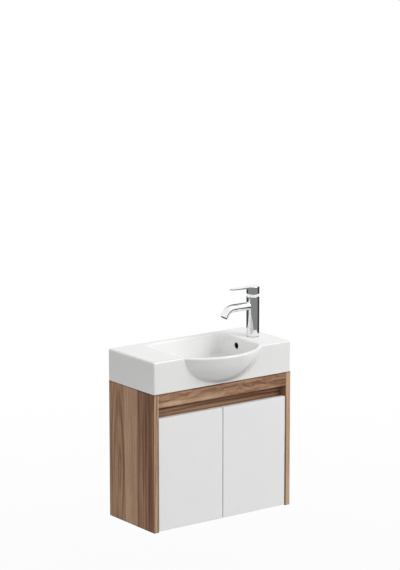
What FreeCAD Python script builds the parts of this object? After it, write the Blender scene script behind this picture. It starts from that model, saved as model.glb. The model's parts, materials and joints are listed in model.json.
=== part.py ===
"""Wall-hung cloakroom vanity unit: walnut carcass, two white doors, ceramic basin, waste, trap and tap.

Millimetres, +Z up. The origin lies on the wall plane, at the middle of the cabinet's bottom edge.
The doors face -Y, out into the room, and +X is to the right of a person standing at the basin.
"""

import FreeCAD
import Part
import Sketcher
import math
import os

from FreeCAD import Placement, Rotation, Vector

doc = FreeCAD.newDocument("vanity_unit")
sheet = doc.addObject("Spreadsheet::Sheet", "Sizes")
size_names = []


def text_of(length):
    return length.text if isinstance(length, Size) else str(length)


def value_of(length):
    return length.value if isinstance(length, Size) else length


class Size:
    """A length the model follows: an expression over the sheet's cells, and its value in millimetres."""

    def __init__(self, text, value):
        self.text = text
        self.value = value

    def __add__(self, other):
        return Size(f"({self.text} + {text_of(other)})", self.value + value_of(other))

    def __radd__(self, other):
        return self + other

    def __sub__(self, other):
        return Size(f"({self.text} - {text_of(other)})", self.value - value_of(other))

    def __rsub__(self, other):
        return Size(f"({text_of(other)} - {self.text})", value_of(other) - self.value)

    def __mul__(self, other):
        return Size(f"({self.text} * {text_of(other)})", self.value * value_of(other))

    def __rmul__(self, other):
        return self * other

    def __truediv__(self, other):
        return Size(f"({self.text} / {text_of(other)})", self.value / value_of(other))

    def __neg__(self):
        return Size(f"(-{self.text})", -self.value)


def root(length):
    return Size(f"sqrt({length.text})", math.sqrt(length.value))


def size(alias, millimetres):
    """Puts one driving size into the sheet and returns it."""
    size_names.append(alias)
    row = len(size_names)
    sheet.set(f"A{row}", alias)
    sheet.set(f"B{row}", str(millimetres))
    sheet.setAlias(f"B{row}", alias)
    return Size(f"Sizes.{alias}", float(millimetres))


# Overall sizes
width = size("width", 500)
depth = size("depth", 230)
cabinet_height = size("cabinet_height", 415)
basin_height = size("basin_height", 95)

# Carcass boards
panel = size("panel", 16)
edge_band = size("edge_band", 1)
rail_height = size("rail_height", 42)
finger_gap = size("finger_gap", 32.5)
finger_depth = size("finger_depth", 28)
finger_overlap = size("finger_overlap", 22)
back_void = size("back_void", 20)
upper_back = size("upper_back", 80)
lower_back = size("lower_back", 60)

# Doors
door_thickness = size("door_thickness", 16)
door_recess = size("door_recess", 2)
door_gap = size("door_gap", 2)
centre_gap = size("centre_gap", 3)
door_foot = size("door_foot", 2)
door_round = size("door_round", 1)
bumper_thickness = size("bumper_thickness", 3)
bumper_radius = size("bumper_radius", 4)
bumper_inset = size("bumper_inset", 18)

# Concealed hinges, measured from the outer front corner of a closed door
hinge_inset = size("hinge_inset", 72)
cup_edge = size("cup_edge", 4)
cup_radius = size("cup_radius", 17.5)
cup_depth = size("cup_depth", 12)
cup_wall = size("cup_wall", 1)
flange_width = size("flange_width", 24)
flange_length = size("flange_length", 62)
flange_sheet = size("flange_sheet", 1.5)
cup_screw_pitch = size("cup_screw_pitch", 52)
screw_radius = size("screw_radius", 1.75)
screw_length = size("screw_length", 12)
screw_head_radius = size("screw_head_radius", 3.5)
screw_head = size("screw_head", 1.8)
plate_sheet = size("plate_sheet", 3)
plate_ridge = size("plate_ridge", 7)
plate_ridge_height = size("plate_ridge_height", 12)
plate_wing = size("plate_wing", 18)
plate_length = size("plate_length", 52)
plate_set = size("plate_set", 46)
plate_reach = size("plate_reach", 92)
plate_screw_pitch = size("plate_screw_pitch", 32)
arm_height = size("arm_height", 14)
arm_thickness = size("arm_thickness", 8)
arm_pin_in = size("arm_pin_in", 32)
arm_pin_back = size("arm_pin_back", 19.5)
arm_ear = size("arm_ear", 3.2)
hinge_pin_radius = size("hinge_pin_radius", 1.5)
link_height = size("link_height", 9.4)
link_thickness = size("link_thickness", 2.4)
link_arc_in = size("link_arc_in", 13.8)
link_arc_back = size("link_arc_back", 1.4)
link_eye = size("link_eye", 2.6)
link_tip = size("link_tip", 1.8)
link_side_gap = size("link_side_gap", 0.3)
running_gap = size("running_gap", 0.05)
seat_gap = size("seat_gap", 0.1)

# Hangers and their wall plates
hanger_width = size("hanger_width", 18)
hanger_depth = size("hanger_depth", 52)
hanger_height = size("hanger_height", 62)
hanger_drop = size("hanger_drop", 12)
hook_width = size("hook_width", 12)
hook_sheet = size("hook_sheet", 3)
hook_tongue = size("hook_tongue", 6)
hook_fall = size("hook_fall", 12)
hook_slack = size("hook_slack", 1.5)
wall_plate_sheet = size("wall_plate_sheet", 2.5)
wall_plate_width = size("wall_plate_width", 60)
wall_plate_height = size("wall_plate_height", 50)
wall_plate_rise = size("wall_plate_rise", 16)
wall_hole_radius = size("wall_hole_radius", 3.5)

# Basin
bowl_half = size("bowl_half", 141)
back_rim = size("back_rim", 17)
bowl_corner = size("bowl_corner", 36)
drain_set = size("drain_set", 98.4)
projection = size("projection", 62)
foot_wall = size("foot_wall", 3)
belly_arc = size("belly_arc", 117.8)
lip = size("lip", 13)
floor_margin = size("floor_margin", 19)
floor_height = size("floor_height", 16)
floor_fall = size("floor_fall", 3)
drain_seat_radius = size("drain_seat_radius", 32.5)
drain_seat_depth = size("drain_seat_depth", 3)
drain_hole_radius = size("drain_hole_radius", 22)
slab_corner = size("slab_corner", 6)
crease_round = size("crease_round", 5)
outer_round = size("outer_round", 5)
rim_round = size("rim_round", 6)
bowl_round = size("bowl_round", 8)
well_round = size("well_round", 24)
floor_dish = size("floor_dish", 1600)
shell = size("shell", 12)
deck_thickness = size("deck_thickness", 14)
overflow_radius = size("overflow_radius", 10)
overflow_drop = size("overflow_drop", 25)
overflow_set = size("overflow_set", 105)
overflow_end = size("overflow_end", 6.5)
overflow_rib = size("overflow_rib", 30)
tap_hole_radius = size("tap_hole_radius", 16)

# Waste and its plug
tail_radius = size("tail_radius", 20.5)
tail_wall = size("tail_wall", 2.5)
tail_length = size("tail_length", 72)
waste_flange_radius = size("waste_flange_radius", 31)
waste_flange = size("waste_flange", 2)
upper_seal = size("upper_seal", 1.5)
lower_seal = size("lower_seal", 5)
seal_radius = size("seal_radius", 30)
nut_circle = size("nut_circle", 33)
backnut = size("backnut", 9)
plug_radius = size("plug_radius", 29)
plug_rim = size("plug_rim", 2)
plug_dome = size("plug_dome", 3)
plug_seal = size("plug_seal", 0.5)
stem_radius = size("stem_radius", 4)
stem_length = size("stem_length", 44)
guide_drop = size("guide_drop", 30)
guide_width = size("guide_width", 12)
guide_height = size("guide_height", 6)

# Bottle trap
trap_radius = size("trap_radius", 26)
trap_wall = size("trap_wall", 3)
trap_height = size("trap_height", 66)
trap_roof = size("trap_roof", 4)
neck_height = size("neck_height", 10)
dip_radius = size("dip_radius", 16)
dip_wall = size("dip_wall", 2)
dip_length = size("dip_length", 78)
bottle_wall = size("bottle_wall", 3)
bottle_height = size("bottle_height", 66)
bottle_grip = size("bottle_grip", 20)
bottle_thread = size("bottle_thread", 16)
bottle_round = size("bottle_round", 8)
inlet_nut_wall = size("inlet_nut_wall", 6)
inlet_nut = size("inlet_nut", 22)
outlet_radius = size("outlet_radius", 20)
outlet_reach = size("outlet_reach", 46)
outlet_socket = size("outlet_socket", 15)
outlet_drop = size("outlet_drop", 30)
outlet_nut_wall = size("outlet_nut_wall", 5)
outlet_nut = size("outlet_nut", 20)
outlet_nut_end = size("outlet_nut_end", 4)
pipe_radius = size("pipe_radius", 16)
pipe_wall = size("pipe_wall", 1.8)
rose_radius = size("rose_radius", 33)
rose_height = size("rose_height", 7)
rose_edge = size("rose_edge", 2.8)
grip_rib = size("grip_rib", 1)
grip_inset = size("grip_inset", 2)

# Tap
tap_radius = size("tap_radius", 19.5)
tap_seal = size("tap_seal", 1)
tap_seal_width = size("tap_seal_width", 2.6)
body_top = size("body_top", 121)
body_bevel = size("body_bevel", 1.5)
bevel_width = size("bevel_width", 1.8)
pocket_radius = size("pocket_radius", 14)
pocket_depth = size("pocket_depth", 15)
spout_radius = size("spout_radius", 12)
spout_wall = size("spout_wall", 2)
spout_height = size("spout_height", 94)
spout_straight = size("spout_straight", 75)
spout_bend = size("spout_bend", 33)
spout_leg = size("spout_leg", 8.5)
spout_root = size("spout_root", 11)
aerator_thickness = size("aerator_thickness", 6)
aerator_out = size("aerator_out", 2)
aerator_hole = size("aerator_hole", 1.1)
aerator_pitch = size("aerator_pitch", 5.5)
collar_radius = size("collar_radius", 17.5)
collar_neck = size("collar_neck", 14.6)
collar_cone = size("collar_cone", 7)
collar_bore = size("collar_bore", 8.2)
collar_side = size("collar_side", 1.5)
collar_dome = size("collar_dome", 5)
collar_lip = size("collar_lip", 3.6)
rotor_radius = size("rotor_radius", 7.5)
rotor_height = size("rotor_height", 10.5)
rotor_slot_floor = size("rotor_slot_floor", 1.2)
cap_radius = size("cap_radius", 19.6)
cap_foot = size("cap_foot", 130)
cap_height = size("cap_height", 23.5)
cap_wall = size("cap_wall", 2)
cap_hollow = size("cap_hollow", 11)
cap_round = size("cap_round", 1.5)
stem_across = size("stem_across", 8)
stem_along = size("stem_along", 7)
stem_below = size("stem_below", 3)
stem_above = size("stem_above", 17)
stem_pin_radius = size("stem_pin_radius", 1.5)
lever_reach = size("lever_reach", 84)
lever_root_width = size("lever_root_width", 26)
lever_tip_width = size("lever_tip_width", 18)
lever_root = size("lever_root", 4.4)
lever_tip = size("lever_tip", 2.8)
lever_droop = size("lever_droop", 0.4)
lever_round = size("lever_round", 1)
grub_radius = size("grub_radius", 2.5)
grub_length = size("grub_length", 9)
stud_radius = size("stud_radius", 4)
stud_length = size("stud_length", 76)
stud_set = size("stud_set", 8)
stud_socket = size("stud_socket", 16)
inlet_radius = size("inlet_radius", 5)
inlet_depth = size("inlet_depth", 20)
inlet_in = size("inlet_in", 6)
inlet_apart = size("inlet_apart", 8)
fixing_radius = size("fixing_radius", 21)
fixing_room = size("fixing_room", 3)
fixing_gasket_thickness = size("fixing_gasket_thickness", 3)
fixing_plate_thickness = size("fixing_plate_thickness", 2.5)
fixing_nut_circle = size("fixing_nut_circle", 7.5)
fixing_nut_height = size("fixing_nut_height", 7)

doc.recompute()

TURNED_TO = {
    "z": Rotation(),
    "y": Rotation(Vector(1, 0, 0), -90),
    "x": Rotation(Vector(0, 1, 0), 90),
    "back": Rotation(Vector(0, 0, 1), 90),
}


def bind(item, **lengths):
    for name, length in lengths.items():
        item.setExpression(name, text_of(length))


def place(item, x, y, z, turn=Rotation()):
    item.Placement = Placement(Vector(0, 0, 0), turn)
    for axis, length in zip("xyz", (x, y, z)):
        item.setExpression(f"Placement.Base.{axis}", text_of(length))
    return item


def box(name, x, y, z, dx, dy, dz):
    item = doc.addObject("Part::Box", name)
    bind(item, Length=dx, Width=dy, Height=dz)
    return place(item, x, y, z)


def rod(name, radius, length, x, y, z, along="z"):
    item = doc.addObject("Part::Cylinder", name)
    bind(item, Radius=radius, Height=length)
    return place(item, x, y, z, TURNED_TO[along])


def hexagon(name, circle, height, x, y, z):
    item = doc.addObject("Part::Prism", name)
    item.Polygon = 6
    bind(item, Circumradius=circle, Height=height)
    return place(item, x, y, z)


def joined(name, *items):
    item = doc.addObject("Part::MultiFuse", name)
    item.Shapes = list(items)
    item.Refine = True
    return item


def shared(name, first, second):
    item = doc.addObject("Part::MultiCommon", name)
    item.Shapes = [first, second]
    return item


def cut(name, base, *tools):
    """The base with each tool taken out of it in turn."""
    for k, tool in enumerate(tools, 1):
        item = doc.addObject("Part::Cut", name if k == len(tools) else f"{name}_cut_{k}")
        item.Base = base
        item.Tool = tool
        base = item
    return base


def group(name, *items):
    item = doc.addObject("Part::Compound", name)
    item.Links = list(items)
    return item


def mirrored(name, item):
    """The same piece on the other side of the middle plane."""
    twin = doc.addObject("Part::Mirroring", name)
    twin.Source = item
    twin.Base = Vector(0, 0, 0)
    twin.Normal = Vector(1, 0, 0)
    return twin


def sketch_on(body, plane):
    sketch = body.newObject("Sketcher::SketchObject", body.Name + "_sketch")
    origin_plane = [f for f in body.Origin.OriginFeatures if f.Role == plane][0]
    sketch.AttachmentSupport = (origin_plane, [""])
    sketch.MapMode = "FlatFace"
    return sketch


def hold(sketch, constraint, length):
    index = sketch.addConstraint(constraint)
    sketch.setExpression(f"Constraints[{index}]", text_of(length))


def arc_side(start, end, radius, bulge):
    """The shorter arc from start to end; it bulges to the left or right of the way it runs."""
    run = end - start
    left = Vector(-run.y, run.x, 0).normalize()
    rise = math.sqrt(radius**2 - (run.Length / 2) ** 2)
    side = 1 if bulge == "right" else -1
    centre = (start + end) * 0.5 + left * (rise * side)
    first, last = (start, end) if bulge == "right" else (end, start)
    circle = Part.Circle(centre, Vector(0, 0, 1), radius)
    begin = math.atan2(first.y - centre.y, first.x - centre.x)
    finish = math.atan2(last.y - centre.y, last.x - centre.x)
    return Part.ArcOfCircle(circle, begin, finish)


def outline(sketch, points, arcs=None, closed=True):
    """Draws sides through the points; arcs gives radius and bulge for the side after a point."""
    arcs = arcs or {}
    corners = [Vector(value_of(x), value_of(y), 0) for x, y in points]
    count = len(points) if closed else len(points) - 1
    starts = []
    for i in range(count):
        start, end = corners[i], corners[(i + 1) % len(points)]
        if i in arcs:
            radius, bulge = arcs[i]
            sketch.addGeometry(arc_side(start, end, value_of(radius), bulge))
            starts.append((1, 2) if bulge == "right" else (2, 1))
        else:
            sketch.addGeometry(Part.LineSegment(start, end))
            starts.append((1, 2))
    for i in range(count if closed else count - 1):
        follower = (i + 1) % count
        end, start = starts[i][1], starts[follower][0]
        sketch.addConstraint(Sketcher.Constraint("Coincident", i, end, follower, start))
    for i, (x, y) in enumerate(points):
        side, end = (i, starts[i][0]) if i < count else (i - 1, starts[i - 1][1])
        for length, kind, axis in ((x, "DistanceX", -2), (y, "DistanceY", -1)):
            if value_of(length) == 0:
                sketch.addConstraint(Sketcher.Constraint("PointOnObject", side, end, axis))
            else:
                hold(sketch, Sketcher.Constraint(kind, -1, 1, side, end, value_of(length)), length)
    for i, (radius, bulge) in arcs.items():
        hold(sketch, Sketcher.Constraint("Radius", i, value_of(radius)), radius)


def turned(name, points, x, y, z, arcs=None, along="z"):
    """A piece turned about its own axis; the points are radius and height above its foot."""
    body = doc.addObject("PartDesign::Body", name)
    sketch = sketch_on(body, "XZ_Plane")
    outline(sketch, points, arcs)
    spin = body.newObject("PartDesign::Revolution", name + "_turning")
    spin.Profile = sketch
    spin.ReferenceAxis = (sketch, ["V_Axis"])
    spin.Angle = 360
    body.Tip = spin
    return place(body, x, y, z, TURNED_TO[along])


def ring(name, inner, outer, height, x, y, z, along="z"):
    return turned(name, [(inner, 0), (outer, 0), (outer, height), (inner, height)], x, y, z, along=along)


def padded(name, points, height, x, y, z, arcs=None, plane="XY_Plane", taper=0):
    """A piece cut from an outline; it runs up from XY_Plane and out to the front from XZ_Plane."""
    body = doc.addObject("PartDesign::Body", name)
    sketch = sketch_on(body, plane)
    outline(sketch, points, arcs)
    pad = body.newObject("PartDesign::Pad", name + "_pad")
    pad.Profile = sketch
    bind(pad, Length=height)
    pad.TaperAngle = taper
    body.Tip = pad
    return place(body, x, y, z)


def rounded(name, base, radius, chosen):
    """The same piece with a rounding along each edge that the test picks, long edges first."""
    doc.recompute()
    picked = [(-edge.Length, n) for n, edge in enumerate(base.Shape.Edges, 1) if chosen(edge)]
    edges = [f"Edge{n}" for _, n in sorted(picked)]
    body = doc.addObject("PartDesign::Body", name)
    body.BaseFeature = base
    doc.recompute()
    fillet = body.newObject("PartDesign::Fillet", name + "_rounding")
    fillet.Base = (body.Group[0], edges)
    bind(fillet, Radius=radius)
    body.Tip = fillet
    return body


def gripped(name, base, count, radius, length, x, y, z, along="z"):
    """The same round nut with small ribs round it, so that a wet hand can turn it."""
    ribs = []
    for k in range(count):
        across = radius * round(math.cos(2 * math.pi * k / count), 5)
        up = radius * round(math.sin(2 * math.pi * k / count), 5)
        foot = (x + across, y + up, z + grip_inset)
        if along == "y":
            foot = (x + across, y + grip_inset, z + up)
        ribs.append(rod(f"{name}_rib_{k}", grip_rib, length - 2 * grip_inset, *foot, along=along))
    return joined(name, base, *ribs)


def near(value, target):
    return abs(value - target) < 0.01


def level_edge(edge, height):
    """True for an edge that lies flat at the given height."""
    return near(edge.BoundBox.ZMin, height) and near(edge.BoundBox.ZMax, height)


# Places that several pieces share
half = width / 2
inside = half - panel
deck = cabinet_height + basin_height
door_front = -depth + door_recess
door_back = door_front + door_thickness
door_top = cabinet_height - rail_height - finger_gap
door_outer = inside - door_gap
hinge_heights = (door_foot + hinge_inset, door_top - hinge_inset)
bowl_y = -drain_set
rim_radius = depth + projection - drain_set
bowl_foot = bowl_half - floor_margin
belly_foot = bowl_foot + foot_wall
tap_x = (half + bowl_half) / 2
tap_y = -depth / 2

# Carcass boards
left_side_board = box(
    "left_side_board", -half, -depth + edge_band, 0, panel, depth - edge_band, cabinet_height
)
left_band = box("left_band", -half, -depth, 0, panel, edge_band, cabinet_height)
edge_bands = group("edge_bands", left_band, mirrored("right_band", left_band))
bottom_front = door_back + bumper_thickness
bottom_panel = box("bottom_panel", -inside, bottom_front, 0, 2 * inside, -bottom_front, panel)
front_rail = box(
    "front_rail", -inside, -depth, cabinet_height - rail_height, 2 * inside, panel, rail_height
)
finger_foot = door_top - finger_overlap
finger_board = box(
    "finger_board", -inside, -depth + finger_depth, finger_foot,
    2 * inside, panel, cabinet_height - finger_foot,
)
rail_front = -back_void - panel
lower_back_rail = box("lower_back_rail", -inside, rail_front, panel, 2 * inside, panel, lower_back)
upper_back_board = box(
    "upper_back_board", -inside, rail_front, cabinet_height - upper_back, 2 * inside, panel, upper_back
)

# Hangers: a steel case on each side panel, and a hook that drops behind the lip of a wall plate
hanger_top = cabinet_height - hanger_drop
hook_x = -inside + (hanger_width - hook_width) / 2
hook_z = hanger_top - 2 * hook_tongue
hook_y = -wall_plate_sheet - hook_slack
left_hanger = box(
    "left_hanger", -inside, rail_front - hanger_depth, hanger_top - hanger_height,
    hanger_width, hanger_depth, hanger_height,
)
right_hanger = mirrored("right_hanger", left_hanger)
tongue = box("tongue", hook_x, rail_front, hook_z, hook_width, hook_y - rail_front, hook_tongue)
fall = box(
    "fall", hook_x, hook_y - hook_sheet, hook_z - hook_fall,
    hook_width, hook_sheet, hook_fall + hook_sheet,
)
left_hook = joined("left_hook", tongue, fall)
hanger_hooks = group("hanger_hooks", left_hook, mirrored("right_hook", left_hook))
hook_slot = box(
    "hook_slot", hook_x - hook_slack, rail_front, hook_z - 2 * hook_slack,
    hook_width + 2 * hook_slack, panel, hook_tongue + 4 * hook_slack,
)
right_hook_slot = mirrored("right_hook_slot", hook_slot)
upper_back_rail = cut("upper_back_rail", upper_back_board, hook_slot, right_hook_slot)
hanger_screw_list = []
for k, height in enumerate((hanger_top - hanger_height / 4, hanger_top - hanger_height * 3 / 4)):
    head = rod(
        f"hanger_screw_{k}", screw_head_radius, screw_head,
        -inside + hanger_width / 2, rail_front - hanger_depth - screw_head, height, along="y",
    )
    hanger_screw_list += [head, mirrored(f"right_hanger_screw_{k}", head)]
hanger_screws = group("hanger_screws", *hanger_screw_list)
lip_y = hook_y - hook_sheet - hook_slack - wall_plate_sheet
lip_foot = hook_z - hook_fall - 2 * hook_slack
plate_x = -inside + hook_slack
lip_width = hanger_width
wall_sheet = box(
    "wall_sheet", plate_x, -wall_plate_sheet, hook_z + wall_plate_rise - wall_plate_height,
    wall_plate_width, wall_plate_sheet, wall_plate_height,
)
lip_floor = box(
    "lip_floor", plate_x, lip_y, lip_foot - wall_plate_sheet, lip_width, -lip_y, wall_plate_sheet
)
lip_front = box(
    "lip_front", plate_x, lip_y, lip_foot - wall_plate_sheet,
    lip_width, wall_plate_sheet, hook_z - lip_foot + wall_plate_sheet,
)
wall_hole_x = plate_x + (lip_width + wall_plate_width) / 2
wall_hole = rod(
    "wall_hole", wall_hole_radius, wall_plate_sheet,
    wall_hole_x, -wall_plate_sheet, hook_z, along="y",
)
left_wall_plate = cut("left_wall_plate", joined("bent_plate", wall_sheet, lip_floor, lip_front), wall_hole)
wall_plates = group("wall_plates", left_wall_plate, mirrored("right_wall_plate", left_wall_plate))

# Hinges of the left door; the right door has their mirror images
cup_x = -door_outer + cup_edge + cup_radius
pin_x = -door_outer + arm_pin_in
pin_y = door_front + arm_pin_back
ridge_x = -inside + plate_ridge
plate_front = door_front + plate_set
plate_back = door_front + plate_reach
plate_middle = (plate_front + plate_back) / 2
bore_depth = screw_length - screw_head - flange_sheet
ear_side = arm_ear * 0.70711
LINK_START = -116.6
LINK_SWEEP = 110.8
link_cos = round(math.cos(math.radians(LINK_START)), 5)
link_sin = round(math.sin(math.radians(LINK_START)), 5)
cups, cup_screws, door_bores = [], [], []
plates, plate_screws, panel_bores = [], [], []
arms, links = [], []
for k, height in enumerate(hinge_heights):
    # Cup let into the back of the door, with a flange that takes two screws
    can = rod(
        f"can_{k}", cup_radius, cup_depth + flange_sheet,
        cup_x, door_back - cup_depth, height, along="y",
    )
    flange = box(
        f"flange_{k}", cup_x - flange_width / 2, door_back, height - flange_length / 2,
        flange_width, flange_sheet, flange_length,
    )
    hollow = rod(
        f"cup_hollow_{k}", cup_radius - cup_wall, cup_depth + flange_sheet - cup_wall,
        cup_x, door_back - cup_depth + cup_wall, height, along="y",
    )
    holes = []
    for j, side in enumerate((-1, 1)):
        screw_z = height + side * cup_screw_pitch / 2
        shank_y = door_back - bore_depth
        holes.append(
            rod(
                f"cup_hole_{k}{j}", screw_radius + seat_gap, flange_sheet,
                cup_x, door_back, screw_z, along="y",
            )
        )
        shank = rod(
            f"cup_shank_{k}{j}", screw_radius, bore_depth + flange_sheet, cup_x, shank_y, screw_z, along="y"
        )
        head = rod(
            f"cup_head_{k}{j}", screw_head_radius, screw_head,
            cup_x, door_back + flange_sheet, screw_z, along="y",
        )
        cup_screws.append(joined(f"cup_screw_{k}{j}", shank, head))
        door_bores.append(
            rod(f"pilot_{k}{j}", screw_radius + seat_gap, bore_depth, cup_x, shank_y, screw_z, along="y")
        )
    cups.append(cut(f"cup_{k}", joined(f"cup_form_{k}", can, flange), hollow, *holes))
    door_bores.append(
        rod(
            f"cup_bore_{k}", cup_radius + seat_gap, cup_depth,
            cup_x, door_back - cup_depth, height, along="y",
        )
    )

    # Mounting plate on the side panel
    wings = box(
        f"wings_{k}", -inside, plate_middle - plate_wing / 2, height - plate_length / 2,
        plate_sheet, plate_wing, plate_length,
    )
    ridge = box(
        f"ridge_{k}", -inside, plate_front, height - plate_ridge_height / 2,
        plate_ridge, plate_back - plate_front, plate_ridge_height,
    )
    holes = []
    for j, side in enumerate((-1, 1)):
        screw_z = height + side * plate_screw_pitch / 2
        shank_x = -inside - bore_depth
        holes.append(
            rod(
                f"plate_hole_{k}{j}", screw_radius + seat_gap, plate_sheet,
                -inside, plate_middle, screw_z, along="x",
            )
        )
        shank = rod(
            f"plate_shank_{k}{j}", screw_radius, bore_depth + plate_sheet,
            shank_x, plate_middle, screw_z, along="x",
        )
        head = rod(
            f"plate_head_{k}{j}", screw_head_radius, screw_head,
            -inside + plate_sheet, plate_middle, screw_z, along="x",
        )
        plate_screws.append(joined(f"plate_screw_{k}{j}", shank, head))
        panel_bores.append(
            rod(
                f"panel_bore_{k}{j}", screw_radius + seat_gap, bore_depth,
                shank_x, plate_middle, screw_z, along="x",
            )
        )
    plates.append(cut(f"plate_{k}", joined(f"plate_form_{k}", wings, ridge), *holes))

    # Cranked arm: along the plate, then in towards the cup, where a forked end holds the pin
    arm_bar = padded(
        f"arm_bar_{k}",
        [
            (ridge_x, plate_back),
            (ridge_x, plate_front - arm_ear),
            (pin_x - ear_side, pin_y - ear_side),
            (pin_x + ear_side, pin_y + ear_side),
            (ridge_x + arm_thickness, plate_front + arm_ear),
            (ridge_x + arm_thickness, plate_back),
        ],
        arm_height, 0, 0, height - arm_height / 2,
    )
    ear = rod(f"ear_{k}", arm_ear, arm_height, pin_x, pin_y, height - arm_height / 2)
    fork_gap = link_height + 2 * link_side_gap
    fork_half = link_eye + link_thickness
    fork = box(
        f"fork_{k}", pin_x - fork_half, pin_y - fork_half, height - fork_gap / 2,
        2 * fork_half, 2 * fork_half, fork_gap,
    )
    pin = rod(f"hinge_pin_{k}", hinge_pin_radius, arm_height, pin_x, pin_y, height - arm_height / 2)
    forked_arm = cut(f"forked_arm_{k}", joined(f"arm_form_{k}", arm_bar, ear), fork)
    arms.append(joined(f"arm_{k}", forked_arm, pin))

    # Bowed link from the pin into the cup
    link_z = height - link_height / 2
    bow_x = pin_x - link_arc_in
    bow_y = pin_y + link_arc_back
    bow_radius = root(link_arc_in * link_arc_in + link_arc_back * link_arc_back)
    sector = doc.addObject("Part::Cylinder", f"bow_sector_{k}")
    sector.Angle = LINK_SWEEP
    bind(sector, Radius=bow_radius + link_thickness / 2, Height=link_height)
    place(sector, bow_x, bow_y, link_z, Rotation(Vector(0, 0, 1), LINK_START))
    core = rod(f"bow_core_{k}", bow_radius - link_thickness / 2, link_height, bow_x, bow_y, link_z)
    eye = rod(f"link_eye_{k}", link_eye, link_height, pin_x, pin_y, link_z)
    tip_x = bow_x + bow_radius * link_cos
    tip_y = bow_y + bow_radius * link_sin
    tip = rod(f"link_tip_{k}", link_tip, link_height, tip_x, tip_y, link_z)
    eye_hole = rod(f"eye_hole_{k}", hinge_pin_radius + running_gap, link_height, pin_x, pin_y, link_z)
    bow = cut(f"bow_{k}", sector, core)
    links.append(cut(f"link_{k}", joined(f"link_form_{k}", bow, eye, tip), eye_hole))

left_side_panel = cut("left_side_panel", left_side_board, *panel_bores)
right_side_panel = mirrored("right_side_panel", left_side_panel)
left_hinge_cups = group("left_hinge_cups", *cups)
right_hinge_cups = mirrored("right_hinge_cups", left_hinge_cups)
left_cup_screws = group("left_cup_screws", *cup_screws)
right_cup_screws = mirrored("right_cup_screws", left_cup_screws)
left_hinge_plates = group("left_hinge_plates", *plates)
right_hinge_plates = mirrored("right_hinge_plates", left_hinge_plates)
left_plate_screws = group("left_plate_screws", *plate_screws)
right_plate_screws = mirrored("right_plate_screws", left_plate_screws)
left_hinge_arms = group("left_hinge_arms", *arms)
right_hinge_arms = mirrored("right_hinge_arms", left_hinge_arms)
left_hinge_links = group("left_hinge_links", *links)
right_hinge_links = mirrored("right_hinge_links", left_hinge_links)

# Doors: lacquered boards with softened edges, bored for the cups and screws
left_blank = box("left_blank", 0, 0, 0, door_outer - centre_gap / 2, door_thickness, door_top - door_foot)
left_soft = rounded("left_soft", left_blank, door_round, lambda edge: True)
place(left_soft, -door_outer, door_front, door_foot)
left_door = cut("left_door", left_soft, *door_bores)
right_door = mirrored("right_door", left_door)
bumper_z = door_foot + panel / 2
left_bumpers = group(
    "left_bumpers",
    *(
        rod(f"{end}_bumper", bumper_radius, bumper_thickness, x, door_back, bumper_z, along="y")
        for end, x in (("outer", -door_outer + bumper_inset), ("inner", -bumper_inset))
    ),
)
right_bumpers = mirrored("right_bumpers", left_bumpers)

# Ceramic basin: a slab whose bowl bulges out of the front as a turned belly
slab = padded(
    "slab",
    [
        (-half, -depth + slab_corner),
        (-half + slab_corner, -depth),
        (half - slab_corner, -depth),
        (half, -depth + slab_corner),
        (half, 0),
        (-half, 0),
    ],
    basin_height, 0, 0, cabinet_height,
    arcs={0: (slab_corner, "right"), 2: (slab_corner, "right")},
)
belly = turned(
    "belly",
    [(0, 0), (belly_foot, 0), (rim_radius, basin_height), (0, basin_height)],
    0, bowl_y, cabinet_height,
    arcs={1: (belly_arc, "right")},
)
front_zone = box(
    "front_zone", -width, -depth - width, cabinet_height, 2 * width, width + depth / 2, basin_height
)
outer_form = joined("outer_form", slab, shared("front_belly", belly, front_zone))


def on_crease(edge):
    """The curved edge where the belly leaves the flat front."""
    flat_front = near(edge.BoundBox.YMin, -depth.value) and near(edge.BoundBox.YMax, -depth.value)
    return flat_front and edge.BoundBox.ZLength > 1 and edge.BoundBox.XLength > 1


creased_form = rounded("creased_form", outer_form, crease_round, on_crease)


def on_outer_top(edge):
    """The top edge round the front and both ends; the edge on the wall stays sharp."""
    return level_edge(edge, deck.value) and edge.BoundBox.YMin < -1


soft_form = rounded("soft_form", creased_form, outer_round, on_outer_top)

bowl_well = turned(
    "bowl_well",
    [
        (0, floor_height - floor_fall),
        (drain_seat_radius, floor_height - floor_fall),
        (bowl_foot, floor_height),
        (rim_radius - lip, basin_height),
        (rim_radius - lip, basin_height + lip),
        (0, basin_height + lip),
    ],
    0, 0, 0,
    arcs={1: (floor_dish, "right"), 2: (belly_arc - lip, "right")},
)


def on_well_foot(edge):
    """The circle where the wall of the well rises from its floor."""
    return level_edge(edge, floor_height.value)


soft_well = rounded("soft_well", bowl_well, well_round, on_well_foot)
place(soft_well, 0, bowl_y, cabinet_height, TURNED_TO["back"])
bowl_front = -depth - projection
bowl_sides = padded(
    "bowl_sides",
    [
        (-bowl_half, bowl_front),
        (bowl_half, bowl_front),
        (bowl_half, -back_rim - bowl_corner),
        (bowl_half - bowl_corner, -back_rim),
        (-bowl_half + bowl_corner, -back_rim),
        (-bowl_half, -back_rim - bowl_corner),
    ],
    basin_height + lip, 0, 0, cabinet_height,
    arcs={2: (bowl_corner, "right"), 4: (bowl_corner, "right")},
)
sharp_bowl = shared("sharp_bowl", soft_well, bowl_sides)


def on_bowl_crease(edge):
    """The edges where the upright walls of the bowl run into its turned well."""
    front_tip = near(edge.BoundBox.ZMin, deck.value) and edge.BoundBox.ZLength > 1
    climbs = edge.BoundBox.ZLength > 0.1
    return front_tip or (climbs and edge.Curve.TypeId == "Part::GeomBSplineCurve")


soft_bowl = rounded("soft_bowl", sharp_bowl, bowl_round, on_bowl_crease)

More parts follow.
